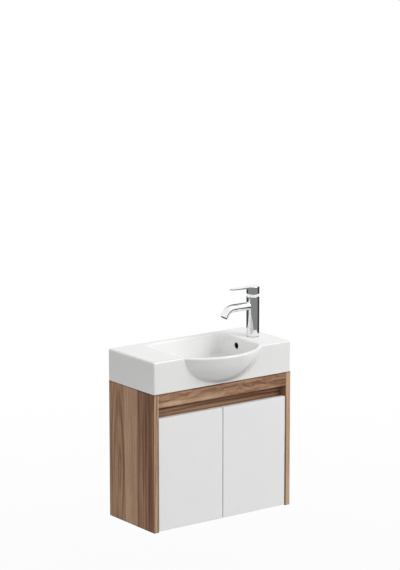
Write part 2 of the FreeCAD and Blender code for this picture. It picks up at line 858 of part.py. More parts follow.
# Hollows under the shelf and the tap ledge; a rib in the right one holds the overflow
hollow_width = half - shell - bowl_half - lip
hollow_height = basin_height - deck_thickness
left_hollow = box(
    "left_hollow", -half + shell, -depth + shell, cabinet_height,
    hollow_width, depth - 2 * shell, hollow_height,
)
rib_end = tap_x - fixing_radius - fixing_room
rib = box(
    "rib", bowl_half, -overflow_set - overflow_rib / 2, cabinet_height,
    rib_end - bowl_half, overflow_rib, basin_height,
)
right_hollow = cut("right_hollow", mirrored("right_void", left_hollow), rib)
overflow_z = deck - overflow_drop
overflow = rod(
    "overflow", overflow_radius, rib_end - overflow_end - bowl_half + lip,
    bowl_half - lip, -overflow_set, overflow_z, along="x",
)
tap_hole = rod("tap_hole", tap_hole_radius, deck_thickness, tap_x, tap_y, deck - deck_thickness)
seat_z = cabinet_height + floor_height - floor_fall - drain_seat_depth
drain_seat = rod("drain_seat", drain_seat_radius, drain_seat_depth, 0, bowl_y, seat_z)
drain_hole = rod("drain_hole", drain_hole_radius, floor_height, 0, bowl_y, cabinet_height)
sharp_basin = cut(
    "sharp_basin", soft_form,
    soft_bowl, left_hollow, right_hollow, overflow, tap_hole, drain_seat, drain_hole,
)


def on_inner_rim(edge):
    """The edge of the bowl in the deck."""
    box_of = edge.BoundBox
    inside_x = box_of.XMin > -bowl_half.value - 1 and box_of.XMax < bowl_half.value + 1
    return level_edge(edge, deck.value) and inside_x and box_of.YMax < -1


basin = rounded("basin", sharp_basin, rim_round, on_inner_rim)

# Waste: a flanged tail clamped through the floor of the bowl, with a click-clack plug
flange_z = seat_z + upper_seal
tail_inner = tail_radius - tail_wall
tail_foot = flange_z - tail_length
waste_form = turned(
    "waste_form",
    [
        (tail_inner, 0),
        (tail_radius, 0),
        (tail_radius, tail_length),
        (waste_flange_radius, tail_length),
        (waste_flange_radius, tail_length + waste_flange / 2),
        (waste_flange_radius - waste_flange, tail_length + waste_flange),
        (tail_inner, tail_length + waste_flange),
    ],
    0, bowl_y, tail_foot,
)
guide_z = flange_z - guide_drop
guide_bar = box(
    "guide_bar", -tail_inner - tail_wall / 2, bowl_y - guide_width / 2, guide_z,
    2 * tail_inner + tail_wall, guide_width, guide_height,
)
guide_hole = rod("guide_hole", stem_radius + running_gap, guide_height, 0, bowl_y, guide_z)
waste_body = cut("waste_body", joined("waste_guided", waste_form, guide_bar), guide_hole)
waste_upper_seal = ring(
    "waste_upper_seal", drain_hole_radius + seat_gap, seal_radius, upper_seal, 0, bowl_y, seat_z
)
waste_lower_seal = ring(
    "waste_lower_seal", tail_radius + seat_gap, seal_radius, lower_seal,
    0, bowl_y, cabinet_height - lower_seal,
)
backnut_z = cabinet_height - lower_seal - backnut
backnut_hole = rod("backnut_hole", tail_radius + seat_gap, backnut, 0, bowl_y, backnut_z)
waste_backnut = cut(
    "waste_backnut", hexagon("backnut_blank", nut_circle, backnut, 0, bowl_y, backnut_z), backnut_hole
)
plug_z = flange_z + waste_flange + plug_seal
dome_radius = (plug_radius * plug_radius + plug_dome * plug_dome) / (2 * plug_dome)
waste_plug = turned(
    "waste_plug",
    [(0, 0), (plug_radius, 0), (plug_radius, plug_rim), (0, plug_rim + plug_dome)],
    0, bowl_y, plug_z,
    arcs={2: (dome_radius, "right")},
)
plug_stem = rod("plug_stem", stem_radius, stem_length, 0, bowl_y, plug_z - stem_length)

# Bottle trap: the inlet neck meets the tail, the dip tube hangs in the bottle
trap_top = tail_foot
trap_foot = trap_top - neck_height - trap_roof - trap_height
dip_foot = trap_top - neck_height - dip_length
body_rise = trap_foot - dip_foot
roof_rise = body_rise + trap_height
trap_form = turned(
    "trap_form",
    [
        (dip_radius - dip_wall, 0),
        (dip_radius, 0),
        (dip_radius, roof_rise),
        (trap_radius - trap_wall, roof_rise),
        (trap_radius - trap_wall, body_rise),
        (trap_radius, body_rise),
        (trap_radius, roof_rise + trap_roof),
        (tail_radius, roof_rise + trap_roof),
        (tail_radius, roof_rise + trap_roof + neck_height),
        (dip_radius - dip_wall, roof_rise + trap_roof + neck_height),
    ],
    0, bowl_y, dip_foot,
)
outlet_z = trap_top - neck_height - outlet_drop
arm_length = outlet_reach - dip_radius
arm_start = bowl_y + dip_radius
outlet_arm = rod("outlet_arm", outlet_radius, arm_length, 0, arm_start, outlet_z, along="y")
room_inside = rod("room_inside", trap_radius - trap_wall, trap_height, 0, bowl_y, trap_foot)
branch = cut("branch", outlet_arm, room_inside)
outlet_bore = rod(
    "outlet_bore", pipe_radius - pipe_wall, arm_length, 0, arm_start + seat_gap, outlet_z, along="y"
)
socket_y = bowl_y + outlet_reach - outlet_socket
outlet_cup = rod("outlet_cup", pipe_radius + seat_gap, outlet_socket, 0, socket_y, outlet_z, along="y")
trap_body = cut("trap_body", joined("trap_branched", trap_form, branch), outlet_bore, outlet_cup)
bottle_radius = trap_radius + seat_gap + bottle_wall
bottle_foot = trap_foot + bottle_thread - bottle_height
plain_bottle = turned(
    "plain_bottle",
    [
        (0, 0),
        (bottle_radius - bottle_round, 0),
        (bottle_radius, bottle_round),
        (bottle_radius, bottle_height),
        (trap_radius + seat_gap, bottle_height),
        (trap_radius + seat_gap, bottle_height - bottle_thread),
        (trap_radius - trap_wall, bottle_height - bottle_thread),
        (trap_radius - trap_wall, bottle_round),
        (bottle_radius - bottle_round - bottle_wall, bottle_wall),
        (0, bottle_wall),
    ],
    0, bowl_y, bottle_foot,
    arcs={1: (bottle_round, "right")},
)
trap_bottle = gripped(
    "trap_bottle", plain_bottle, 24, bottle_radius, bottle_grip,
    0, bowl_y, bottle_foot + bottle_height - bottle_grip,
)
inlet_nut_z = trap_top - neck_height + seat_gap
inlet_nut_radius = tail_radius + inlet_nut_wall
plain_inlet_nut = ring(
    "plain_inlet_nut", tail_radius + seat_gap, inlet_nut_radius, inlet_nut, 0, bowl_y, inlet_nut_z
)
trap_inlet_nut = gripped(
    "trap_inlet_nut", plain_inlet_nut, 18, inlet_nut_radius, inlet_nut, 0, bowl_y, inlet_nut_z
)
outlet_nut_y = bowl_y + outlet_reach + outlet_nut_end - outlet_nut
outlet_nut_radius = outlet_radius + outlet_nut_wall
plain_outlet_nut = turned(
    "plain_outlet_nut",
    [
        (outlet_radius + seat_gap, 0),
        (outlet_nut_radius, 0),
        (outlet_nut_radius, outlet_nut),
        (pipe_radius + seat_gap, outlet_nut),
        (pipe_radius + seat_gap, outlet_nut - outlet_nut_end),
        (outlet_radius + seat_gap, outlet_nut - outlet_nut_end),
    ],
    0, outlet_nut_y, outlet_z,
    along="y",
)
trap_outlet_nut = gripped(
    "trap_outlet_nut", plain_outlet_nut, 18, outlet_nut_radius, outlet_nut,
    0, outlet_nut_y, outlet_z, along="y",
)
waste_pipe = ring(
    "waste_pipe", pipe_radius - pipe_wall, pipe_radius, -socket_y, 0, socket_y, outlet_z, along="y"
)
wall_rose = turned(
    "wall_rose",
    [
        (pipe_radius + seat_gap, 0),
        (pipe_radius + rose_height, 0),
        (rose_radius, rose_height - rose_edge),
        (rose_radius, rose_height),
        (pipe_radius + seat_gap, rose_height),
    ],
    0, -rose_height, outlet_z,
    along="y",
)

# Tap: an upright body on the ledge, with a spout that bends down over the bowl
tap_base_seal = ring("tap_base_seal", tap_radius - tap_seal_width, tap_radius, tap_seal, tap_x, tap_y, deck)
tap_z = deck + tap_seal
shoulder = body_top - tap_seal
pocket_floor = shoulder + body_bevel - pocket_depth
tap_form = turned(
    "tap_form",
    [
        (0, 0),
        (tap_radius, 0),
        (tap_radius, shoulder),
        (tap_radius - bevel_width, shoulder + body_bevel),
        (pocket_radius, shoulder + body_bevel),
        (pocket_radius, pocket_floor),
        (0, pocket_floor),
    ],
    tap_x, tap_y, tap_z,
)
spout_hole = rod(
    "spout_hole", spout_radius + seat_gap, tap_radius,
    tap_x - tap_radius - spout_root, tap_y, deck + spout_height, along="x",
)
stud_x = tap_x - stud_set
stud_hole = rod("stud_hole", stud_radius + seat_gap, stud_socket, stud_x, tap_y, tap_z)
inlets = [
    rod(f"inlet_{k}", inlet_radius, inlet_depth, tap_x + inlet_in, tap_y + side * inlet_apart, tap_z)
    for k, side in enumerate((-1, 1))
]
tap_body = cut("tap_body", tap_form, spout_hole, stud_hole, *inlets)

# Spout: a round tube along its own bent centre line
SPOUT_BEND = 60
bend_sin = round(math.sin(math.radians(SPOUT_BEND)), 5)
bend_cos = round(math.cos(math.radians(SPOUT_BEND)), 5)
spout_start = spout_root + seat_gap
bend_end_x = spout_straight + spout_bend * bend_sin
bend_end_z = spout_bend * (bend_cos - 1)
tip_out = bend_end_x + spout_leg * bend_cos
tip_down = bend_end_z - spout_leg * bend_sin
tap_spout = doc.addObject("PartDesign::Body", "tap_spout")
spine = sketch_on(tap_spout, "XZ_Plane")
outline(
    spine,
    [(-spout_start, 0), (-spout_straight, 0), (-bend_end_x, bend_end_z), (-tip_out, tip_down)],
    {1: (spout_bend, "right")},
    closed=False,
)
tube = sketch_on(tap_spout, "YZ_Plane")
for radius in (spout_radius, spout_radius - spout_wall):
    circle = tube.addGeometry(Part.Circle(Vector(0, 0, 0), Vector(0, 0, 1), radius.value))
    tube.addConstraint(Sketcher.Constraint("Coincident", circle, 3, -1, 1))
    hold(tube, Sketcher.Constraint("Radius", circle, radius.value), radius)
tube.setExpression("AttachmentOffset.Base.z", text_of(-spout_start))
doc.recompute()
pipe = tap_spout.newObject("PartDesign::AdditivePipe", "tap_spout_pipe")
pipe.Profile = tube
pipe.Spine = (spine, ["Edge1", "Edge2", "Edge3"])
tap_spout.Tip = pipe
place(tap_spout, tap_x, tap_y, deck + spout_height)

# Aerator: a perforated disc that stands a little out of the mouth of the spout
aerator_disc = rod("aerator_disc", spout_radius - spout_wall - seat_gap, aerator_thickness, 0, 0, 0)
aerator_holes = [rod("aerator_hole_0", aerator_hole, aerator_thickness, 0, 0, 0)]
for k in range(6):
    angle = math.radians(60 * k)
    aerator_holes.append(
        rod(
            f"aerator_hole_{k + 1}", aerator_hole, aerator_thickness,
            aerator_pitch * round(math.cos(angle), 5), aerator_pitch * round(math.sin(angle), 5), 0,
        )
    )
aerator = cut("aerator", aerator_disc, *aerator_holes)
place(
    aerator,
    tap_x - tip_out - aerator_out * bend_cos, tap_y,
    deck + spout_height + tip_down - aerator_out * bend_sin,
    Rotation(Vector(0, 1, 0), 90 - SPOUT_BEND),
)

# Collar over the cartridge; above it everything turns and tilts with the lever
collar_foot = deck + body_top + body_bevel
collar_top = collar_cone + collar_side + collar_dome
tap_collar = turned(
    "tap_collar",
    [
        (collar_bore, 0),
        (collar_radius, 0),
        (collar_neck, collar_cone),
        (collar_neck, collar_cone + collar_side),
        (collar_neck - collar_lip, collar_top),
        (collar_bore, collar_top),
    ],
    tap_x, tap_y, collar_foot,
)
cartridge = rod(
    "cartridge", pocket_radius - seat_gap, pocket_depth, tap_x, tap_y, collar_foot - pocket_depth
)
lever_z = deck + cap_foot
rotor_form = rod("rotor_form", rotor_radius, rotor_height, tap_x, tap_y, collar_foot)
slot_floor = collar_foot + rotor_slot_floor
rotor_slot = box(
    "rotor_slot", tap_x - rotor_radius, tap_y - stem_across / 2 - seat_gap, slot_floor,
    2 * rotor_radius, stem_across + 2 * seat_gap, rotor_height,
)
rotor_pin = rod(
    "rotor_pin", stem_pin_radius, 2 * rotor_radius - stem_pin_radius,
    tap_x, tap_y - rotor_radius + stem_pin_radius / 2, lever_z, along="y",
)
cartridge_rotor = joined("cartridge_rotor", cut("slotted_rotor", rotor_form, rotor_slot), rotor_pin)
stem_bar = box(
    "stem_bar", tap_x - stem_along / 2, tap_y - stem_across / 2, lever_z - stem_below,
    stem_along, stem_across, stem_below + stem_above,
)
stem_hole = rod(
    "stem_hole", stem_pin_radius + running_gap, stem_across,
    tap_x, tap_y - stem_across / 2, lever_z, along="y",
)
cartridge_stem = cut("cartridge_stem", stem_bar, stem_hole)

# Lever: a hollow cap with a thin flat arm that points along the spout
cap_form = turned(
    "cap_form",
    [
        (0, cap_hollow),
        (cap_radius - cap_wall, cap_hollow),
        (cap_radius - cap_wall, 0),
        (cap_radius - cap_round, 0),
        (cap_radius, cap_round),
        (cap_radius, cap_height - cap_round),
        (cap_radius - cap_round, cap_height),
        (0, cap_height),
    ],
    tap_x, tap_y, lever_z,
    arcs={3: (cap_round, "right"), 5: (cap_round, "right")},
)
lever_side = padded(
    "lever_side",
    [
        (0, cap_height - lever_root),
        (0, cap_height),
        (-cap_radius, cap_height),
        (-lever_reach, cap_height - lever_droop),
        (-lever_reach, cap_height - lever_droop - lever_tip),
        (-cap_radius, cap_height - lever_root),
    ],
    2 * lever_root_width, tap_x, tap_y + lever_root_width, lever_z,
    plane="XZ_Plane",
)
lever_plan = padded(
    "lever_plan",
    [
        (0, -lever_root_width / 2),
        (0, lever_root_width / 2),
        (-cap_radius, lever_root_width / 2),
        (-lever_reach + lever_tip_width / 2, lever_tip_width / 2),
        (-lever_reach, 0),
        (-lever_reach + lever_tip_width / 2, -lever_tip_width / 2),
        (-cap_radius, -lever_root_width / 2),
    ],
    2 * cap_height, tap_x, tap_y, lever_z - cap_height / 2,
    arcs={3: (lever_tip_width / 2, "right"), 4: (lever_tip_width / 2, "right")},
)
sharp_arm = shared("sharp_arm", lever_side, lever_plan)
stem_socket = box(
    "stem_socket", tap_x - stem_along / 2 - seat_gap, tap_y - stem_across / 2 - seat_gap, lever_z,
    stem_along + 2 * seat_gap, stem_across + 2 * seat_gap, stem_above + seat_gap,
)
grub_z = lever_z + (cap_hollow + stem_above) / 2
grub_x = tap_x + stem_along / 2 + seat_gap
grub_hole = rod("grub_hole", grub_radius + seat_gap, cap_radius, grub_x, tap_y, grub_z, along="x")
tap_lever = cut("tap_lever", joined("lever_form", cap_form, sharp_arm), stem_socket, grub_hole)
lever_grub_screw = rod("lever_grub_screw", grub_radius, grub_length, grub_x, tap_y, grub_z, along="x")

# Tap fixings under the ledge
ledge_z = deck - deck_thickness
gasket_z = ledge_z - fixing_gasket_thickness
clamp_z = gasket_z - fixing_plate_thickness
fixing_stud = rod("fixing_stud", stud_radius, stud_length, stud_x, tap_y, tap_z + stud_socket - stud_length)


def horseshoe(name, thickness, z):
    """A half disc under the ledge, open on the side where the supply tails pass."""
    disc = rod(name + "_disc", fixing_radius, thickness, tap_x, tap_y, z)
    open_side = box(
        name + "_open", tap_x - seat_gap, tap_y - fixing_radius, z,
        2 * fixing_radius, 2 * fixing_radius, thickness,
    )
    hole = rod(name + "_hole", stud_radius + seat_gap, thickness, stud_x, tap_y, z)
    return cut(name, disc, open_side, hole)


fixing_gasket = horseshoe("fixing_gasket", fixing_gasket_thickness, gasket_z)
fixing_plate = horseshoe("fixing_plate", fixing_plate_thickness, clamp_z)
nut_z = clamp_z - fixing_nut_height
fixing_nut = cut(
    "fixing_nut",
    hexagon("fixing_nut_blank", fixing_nut_circle, fixing_nut_height, stud_x, tap_y, nut_z),
    rod("fixing_nut_hole", stud_radius + seat_gap, fixing_nut_height, stud_x, tap_y, nut_z),
)

doc.recompute()

NODES = [
    left_side_panel, right_side_panel, edge_bands, bottom_panel, front_rail, finger_board,
    lower_back_rail, upper_back_rail,
    left_hanger, right_hanger, hanger_hooks, hanger_screws, wall_plates,
    left_hinge_plates, right_hinge_plates, left_plate_screws, right_plate_screws,
    left_hinge_arms, right_hinge_arms, left_hinge_links, right_hinge_links,
    left_door, left_hinge_cups, left_cup_screws, left_bumpers,
    right_door, right_hinge_cups, right_cup_screws, right_bumpers,
    basin,
    waste_body, waste_upper_seal, waste_lower_seal, waste_backnut, waste_plug, plug_stem,
    trap_inlet_nut, trap_body, trap_bottle, trap_outlet_nut, waste_pipe, wall_rose,
    tap_base_seal, tap_body, tap_spout, aerator, tap_collar, cartridge,
    cartridge_rotor, cartridge_stem, tap_lever, lever_grub_screw,
    fixing_stud, fixing_gasket, fixing_plate, fixing_nut,
]

for item in doc.Objects:
    if "Invalid" in item.State or "Error" in item.State:
        raise RuntimeError(f"{item.Name} did not build: {item.State}")

os.makedirs("parts", exist_ok=True)
for item in NODES:
    if item.Shape.isNull() or not item.Shape.isValid():
        raise RuntimeError(f"{item.Name} has no valid shape")
    item.Label = item.Name
    item.Shape.exportStep(f"parts/{item.Name}.step")
print(len(NODES), "nodes written")
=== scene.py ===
# %% [markdown]
# # A wall-hung vanity unit
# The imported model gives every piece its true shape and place, in metres, with the wall at zero
# on the Y axis. The shapes could be modelled again by hand, but then they would drift from
# their real sizes, so this lesson only dresses them. Each surface gets its finish: walnut
# boards, white lacquer, glazed ceramic, chrome, and the plainer metals and plastics behind the
# doors. A small studio lights them.

import json
import math

import bpy
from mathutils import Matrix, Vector

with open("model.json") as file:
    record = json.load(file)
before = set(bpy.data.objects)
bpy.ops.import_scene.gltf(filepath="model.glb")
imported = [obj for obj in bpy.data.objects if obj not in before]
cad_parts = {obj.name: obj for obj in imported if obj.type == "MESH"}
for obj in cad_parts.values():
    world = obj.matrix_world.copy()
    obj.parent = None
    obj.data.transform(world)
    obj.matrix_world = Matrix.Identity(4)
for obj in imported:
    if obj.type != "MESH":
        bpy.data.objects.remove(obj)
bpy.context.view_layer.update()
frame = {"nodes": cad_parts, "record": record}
nodes = frame["nodes"]
scene = bpy.context.scene
scene.view_settings.view_transform = "Standard"

# %% [markdown]
# The photograph was taken from the left, a little above the basin, with a long lens, which
# keeps upright edges nearly parallel. A camera could be placed by eye. Here its place,
# direction and focal length were worked out from the cabinet's straight edges, because then
# each edge of the model falls on its own edge in the picture. It stands seven metres away.

# %% Camera
PHOTO_HEIGHT = 570
FOCAL_PIXELS = 2372.5
SENSOR = 36.0
FARTHEST_VIEW = 200.0
CAMERA_PLACE = (-4.0533, -5.6488, 2.0929)
CAMERA_DIRECTION = (0.5788, 0.7905, -0.2004)


def aimed(name, data, place, direction):
    """A camera or lamp in the scene that looks along a direction."""
    thing = bpy.data.objects.new(name, data)
    thing.location = place
    thing.rotation_euler = Vector(direction).to_track_quat("-Z", "Y").to_euler()
    scene.collection.objects.link(thing)
    return thing


lens = bpy.data.cameras.new("photo_camera")
lens.sensor_fit = "VERTICAL"
lens.sensor_height = SENSOR
lens.lens = FOCAL_PIXELS / PHOTO_HEIGHT * SENSOR
lens.clip_end = FARTHEST_VIEW
scene.camera = aimed("photo_camera", lens, CAMERA_PLACE, CAMERA_DIRECTION)
print("lens:", round(lens.lens, 2))

# %% [markdown]
# Node trees can be drawn by hand or built line by line, but both hide the idea behind them.
# They are easier to read as formulas. A Wire stands for one output socket, and arithmetic on
# wires adds Math nodes. Every other node comes from the node method: first its settings, then
# the values or links of its sockets.

# %% Wires for shader formulas
class Wire:
    """One output socket of a shader tree."""

    def __init__(self, tree, socket=None):
        self.tree = tree
        self.socket = socket

    def node(self, kind, settings, sockets, out=0):
        """A new node, its settings made first, with values or links on its sockets."""
        made = self.tree.nodes.new("ShaderNode" + kind)
        for name, value in settings.items():
            if name == "stops":
                set_stops(made.color_ramp, value)
            else:
                setattr(made, name, value)
        for key, value in sockets.items():
            if isinstance(value, Wire):
                self.tree.links.new(value.socket, made.inputs[key])
            else:
                made.inputs[key].default_value = value
        return Wire(self.tree, made.outputs[out])

    def math(self, operation, *values, clamp=False):
        settings = {"operation": operation, "use_clamp": clamp}
        return self.node("Math", settings, dict(enumerate(values)))

    def __add__(self, other):
        return self.math("ADD", self, other)

    __radd__ = __add__

    def __sub__(self, other):
        return self.math("SUBTRACT", self, other)

    def __rsub__(self, other):
        return self.math("SUBTRACT", other, self)

    def __mul__(self, other):
        return self.math("MULTIPLY", self, other)

    __rmul__ = __mul__

    def clamped(self):
        return self.math("ADD", self, 0.0, clamp=True)

    def fade(self, start, end):
        """0 at start and 1 at end, with a straight slope between; end may be the lower one."""
        return ((self - start) * (1 / (end - start))).clamped()

    def between(self, low, high):
        """A number from low to high as this wire goes from 0 to 1."""
        return self * (high - low) + low

    def mix(self, low, high):
        """A colour from low to high as this wire goes from 0 to 1."""
        return self.node("Mix", {"data_type": "RGBA"}, {0: self, 6: low, 7: high}, out=2)

    def root(self):
        return self.math("SQRT", self)

    def sine(self):
        return self.math("SINE", self)

    def along(self, axis):
        """The part of this vector that lies along an axis."""
        return self.node("VectorMath", {"operation": "DOT_PRODUCT"}, {0: self, 1: axis}, out=1)

    def noise(self, waves, detail, roughness=0.55):
        """Noise over this place, with so many waves per metre along X, Y and Z."""
        spread = self.node("VectorMath", {"operation": "MULTIPLY"}, {0: self, 1: waves})
        sockets = {"Vector": spread, "Scale": 1.0, "Detail": detail, "Roughness": roughness}
        return self.node("TexNoise", {"noise_dimensions": "3D"}, sockets)

    def even_noise(self, waves, detail, roughness=0.55):
        return self.noise((waves, waves, waves), detail, roughness)


def set_stops(ramp, stops):
    while len(ramp.elements) < len(stops):
        ramp.elements.new(1.0)
    for element, (position, colour) in zip(ramp.elements, stops):
        element.position = position
        element.color = colour


print("operators of a wire: +, - and *, on either side of a number")

# %% [markdown]
# Every finish here is one Principled shader. What is the same all over it is set on the
# shader's own sockets, and what changes from place to place arrives by wire. Colours are
# written as on a paint chart, because those are the numbers that a picture shows, and are
# turned into the share of light that the paint sends back, which the shader needs.

# %% Helpers for finishes
def tint(red, green, blue):
    """A colour written as on a paint chart, 0 to 255, turned into the light it reflects."""
    light = []
    for value in (red, green, blue):
        share = value / 255
        light.append(share / 12.92 if share <= 0.04045 else ((share + 0.055) / 1.055) ** 2.4)
    return (*light, 1.0)


def new_finish(name, **fixed):
    """A material, and the wire of each point's place on the object in metres."""
    material = bpy.data.materials.new(name)
    material.use_nodes = True
    shader = material.node_tree.nodes["Principled BSDF"]
    for socket, value in fixed.items():
        shader.inputs[socket.replace("_", " ")].default_value = value
    start = Wire(material.node_tree)
    return material, start.node("TexCoord", {}, {}, out=3)


def feed(material, **wires):
    """Links wires to the sockets of the material's shader."""
    tree = material.node_tree
    shader = tree.nodes["Principled BSDF"]
    for socket, wire in wires.items():
        tree.links.new(wire.socket, shader.inputs[socket.replace("_", " ")])
    return material


def bump(height, relief, strength):
    """A normal that leans as a relief would, whose full height is given in metres."""
    return height.node("Bump", {}, {"Height": height, "Distance": relief, "Strength": strength})


print("chart value 225 reflects", round(tint(225, 225, 225)[0], 3))

# %% [markdown]
# The walnut is a printed board with long grain. A picture of wood would do for one board, but
# it repeats and has its own light in it, so the grain is grown from a formula. A plank sawn
# near the middle of a log shows its year rings as very long ellipses, which end in pointed
# arches. Stretched noise bends these rings, and adds broad streaks, fine fibres and short dark
# pores. Where the basin sits on the boards, and at the foot, painted shade darkens the joint.

# %% Tones and grain of walnut
PORE_TONE = tint(74, 48, 33)
WALNUT_TONES = [
    (0.00, tint(79, 51, 37)),
    (0.28, tint(121, 87, 65)),
    (0.52, tint(155, 117, 91)),
    (0.78, tint(180, 146, 117)),
    (1.00, tint(201, 171, 143)),
]
# Each layer of grain: waves per metre across and along the grain, then the noise's detail and
# roughness.
GRAIN_LAYERS = {
    "drift": (9.0, 1.5, 2.0, 0.5),
    "cloud": (14.0, 1.0, 3.0, 0.5),
    "streak": (120.0, 2.4, 3.0, 0.6),
    "fibre": (700.0, 9.0, 3.0, 0.6),
    "pore": (1500.0, 42.0, 1.0, 0.5),
}
# How much each of these moves the tone.
CLOUD_SHARE, STREAK_SHARE, FIBRE_SHARE, RING_SHARE, PORE_SHARE = 0.9, 1.6, 0.5, 0.42, 0.5
PORE_SHOWS = (0.10, 0.2111)
print("walnut tones:", len(WALNUT_TONES), "grain layers:", len(GRAIN_LAYERS))

# %% Painted shade at the joints
X_AXIS, Y_AXIS, Z_AXIS = (1, 0, 0), (0, 1, 0), (0, 0, 1)
UNDER_BASIN = (0.41045, 0.415)
SHADE_AT_WALL, SHADE_TO_FRONT = 0.25, 1.6
AT_FOOT = (0.00333, 0.0)
FOOT_SHADE = 0.35


def joint_shade(place):
    """Painted shade on the last millimetres under the basin, deepest in front, and at the foot.
    """
    height = place.along(Z_AXIS)
    basin_shade = place.along(Y_AXIS) * SHADE_TO_FRONT - SHADE_AT_WALL
    return height.fade(*UNDER_BASIN) * basin_shade - height.fade(*AT_FOOT) * FOOT_SHADE


print("shade under the basin from", UNDER_BASIN[0])

# %% Walnut
PLAIN_PLANK = (0.5, 0.8, 0.8)
DRIFT_BEND = 0.060
RIPPLE_ACROSS, RIPPLE_ALONG, RIPPLE_BY_CURL = 60.0, 6.0, 600.0
WAVER_SCALE, WAVER_TURN = 40.0, 9.0
MEAN_LATE_WOOD = 0.38


def walnut(
    name,
    grain,
    across,
    heart,
    ring=0.015,
    arch=0.11,
    curl=0.006,
    planks=PLAIN_PLANK,
    lift=joint_shade,
):
    """Walnut board: grain and across are axes, heart is a point on the middle of the rings.

    ring is their spacing, arch shortens them along the grain and curl bends them. planks gives
    a plank's tone, the strength of its rings and that of its streaks, or is a function of place
    that does. lift makes places paler or darker.
    """
    material, place = new_finish(name, IOR=1.45, Specular_IOR_Level=0.22)

    def grown(fine, long, detail, roughness):
        waves = [long if part else fine for part in grain]
        return place.noise(waves, detail, roughness) - 0.5

    layer = {kind: grown(*numbers) for kind, numbers in GRAIN_LAYERS.items()}
    ripple = grown(RIPPLE_ACROSS, RIPPLE_ALONG + curl * RIPPLE_BY_CURL, 2.0, 0.5)
    side = place.along(across) - sum(a * h for a, h in zip(across, heart))
    side = side + layer["drift"] * DRIFT_BEND + ripple * curl
    run = (place.along(grain) - sum(g * h for g, h in zip(grain, heart))) * arch
    radius = (side * side + run * run).root()
    uneven = {"W": radius, "Scale": WAVER_SCALE, "Detail": 2.0}
    waver = radius.node("TexNoise", {"noise_dimensions": "1D"}, uneven)
    rings = (radius * (2 * math.pi / ring) + waver * WAVER_TURN).sine() * 0.5 + 0.5
    late_wood = rings * rings - MEAN_LATE_WOOD
    pore = layer["pore"].fade(*PORE_SHOWS)
    fibre = layer["fibre"]
    tone, figure, streaks = planks(place) if callable(planks) else planks
    depth = (
        tone
        + layer["cloud"] * CLOUD_SHARE
        + layer["streak"] * streaks * STREAK_SHARE
        + fibre * FIBRE_SHARE
        - late_wood * figure * RING_SHARE
        + lift(place)
    )
    board = depth.node("ValToRGB", {"stops": WALNUT_TONES}, {"Fac": depth.clamped()})
    return feed(
        material,
        Base_Color=(pore * PORE_SHARE).mix(board, PORE_TONE),
        Roughness=0.52 + fibre * 0.16 - late_wood * 0.04,
        Normal=bump(fibre * 0.6 - pore * 0.8, relief=0.00012, strength=0.6),
    )


print("a plain plank's tone, rings and streaks:", PLAIN_PLANK)

# %% [markdown]
# The side panels show three planks: a dark streaky one in front, a pale plain one, and one with
# arches at the wall. Three meshes could carry three finishes, but the panel is one board. One
# colour ramp across it carries three numbers for each plank instead, in its red, green and
# blue: how pale it is, how strong its rings are, and how strong its streaks are. The rail has
# curled grain, the edging is paler, and painted shade darkens the board in the recess.

# %% Planks of the side panels
PANEL_DEPTH = 0.23
PLANK_JOINT = 0.012
# Each plank from front to wall: where it ends, as a share of the depth, and its three numbers.
SIDE_PLANKS = [
    (0.38, (0.40, 0.20, 1.0)),
    (0.65, (0.81, 0.08, 0.45)),
    (1.0, (0.56, 0.60, 0.75)),
]


def side_planks(place):
    stops, start = [], 0.0
    for end, numbers in SIDE_PLANKS:
        stops += [(start, (*numbers, 1)), (end - PLANK_JOINT, (*numbers, 1))]
        start = end
    position = place.along(Y_AXIS) * (1 / PANEL_DEPTH) + 1.0
    ramp = position.node("ValToRGB", {"stops": stops}, {"Fac": position})
    return [ramp.node("SeparateColor", {}, {"Color": ramp}, out=k) for k in range(3)]


print("planks of a side panel:", len(SIDE_PLANKS))

# %% Painted shade at the doors
BELOW_DOOR_TOP = (0.3425, 0.3385)
BESIDE_DOORS = (0.2365, 0.23428)
UNDER_RAIL = (0.354, 0.36233)
EDGING_PALER, EDGING_RIGHT, ARRIS_SHADE = 0.32, 0.12, 0.6
RECESS_SHADE, RECESS_RIGHT, RAIL_SHADE, DOOR_SHADE = 0.02, 0.45, 0.12, 0.20


def edging_lift(place):
    """Edging is paler wood, paler still to the right, with painted shade on the arris by the
    doors.
    """
    sideways = place.along(X_AXIS)
    # Painted shade of the gap between edging and doors, on the edging's arris below the door
    # tops.
    near_gap = (sideways * sideways).root().fade(*BESIDE_DOORS)
    painted_gap_shade = near_gap * place.along(Z_AXIS).fade(*BELOW_DOOR_TOP)
    paler = sideways * EDGING_RIGHT + EDGING_PALER
    return paler + joint_shade(place) - painted_gap_shade * ARRIS_SHADE


def recess_lift(place):
    """Painted shade on the recess board: darker on the right, under the rail and behind the
    doors.
    """
    height = place.along(Z_AXIS)
    shade = height.fade(*UNDER_RAIL) * RAIL_SHADE + height.fade(*BELOW_DOOR_TOP) * DOOR_SHADE
    return place.along(X_AXIS) * -RECESS_RIGHT - RECESS_SHADE - shade


print("shade behind the doors below", BELOW_DOOR_TOP[0])

# %% Walnut boards
RAIL_PLANK = (0.55, 0.5, 1.0)
walnut_upright = walnut(
    "walnut_upright", Z_AXIS, Y_AXIS, heart=(0.0, -0.045, 0.16), planks=side_planks
)
walnut_level = walnut(
    "walnut_level",
    X_AXIS,
    Z_AXIS,
    heart=(0.06, 0.0, 0.384),
    ring=0.009,
    arch=0.07,
    curl=0.03,
    planks=RAIL_PLANK,
)
walnut_recess = walnut(
    "walnut_recess", X_AXIS, Z_AXIS, heart=(0.0, 0.0, 0.30), lift=recess_lift
)
walnut_inner = walnut("walnut_inner", X_AXIS, Y_AXIS, heart=(-0.1, -0.10, 0.0))
walnut_edging = walnut(
    "walnut_edging", Z_AXIS, X_AXIS, heart=(0.0, 0.0, 0.10), ring=0.007, lift=edging_lift
)
walnuts = [walnut_upright, walnut_level, walnut_recess, walnut_inner, walnut_edging]
print("walnut finishes:", len(walnuts))

